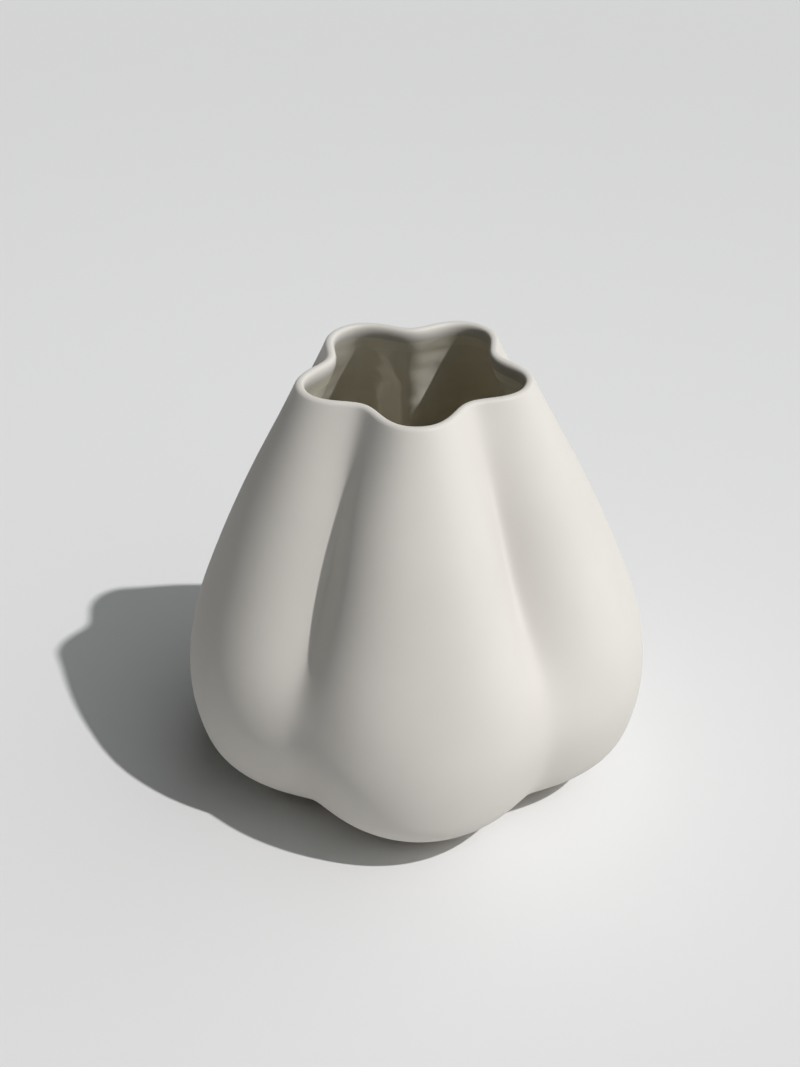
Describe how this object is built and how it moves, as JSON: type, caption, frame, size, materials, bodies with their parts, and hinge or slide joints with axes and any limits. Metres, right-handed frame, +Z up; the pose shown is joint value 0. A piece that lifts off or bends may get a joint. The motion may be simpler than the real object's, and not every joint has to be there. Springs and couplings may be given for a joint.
{
  "type": "pillow vase",
  "caption": "Lobed pillow vase in matt stoneware: a soft wide belly that narrows to a wavy open mouth, with a gloss lining that holds water and flower stems.",
  "frame": {"origin": "on the table, under the axis of the lobes, in the plane of the foot ring", "axes": "+Z up along the axis of the lobes, -Y towards the front lobe, +X to the right seen from the front"},
  "size_m": [0.2262, 0.2221, 0.2201],
  "materials": {
    "stoneware": "bare fired clay",
    "matt_glaze": "smooth matt glaze",
    "gloss_glaze": "gloss glaze"
  },
  "bodies": {
    "root": {"vase_body": "stoneware", "outer_glaze": "matt_glaze", "inner_glaze": "gloss_glaze"}
  },
  "joints": []
}
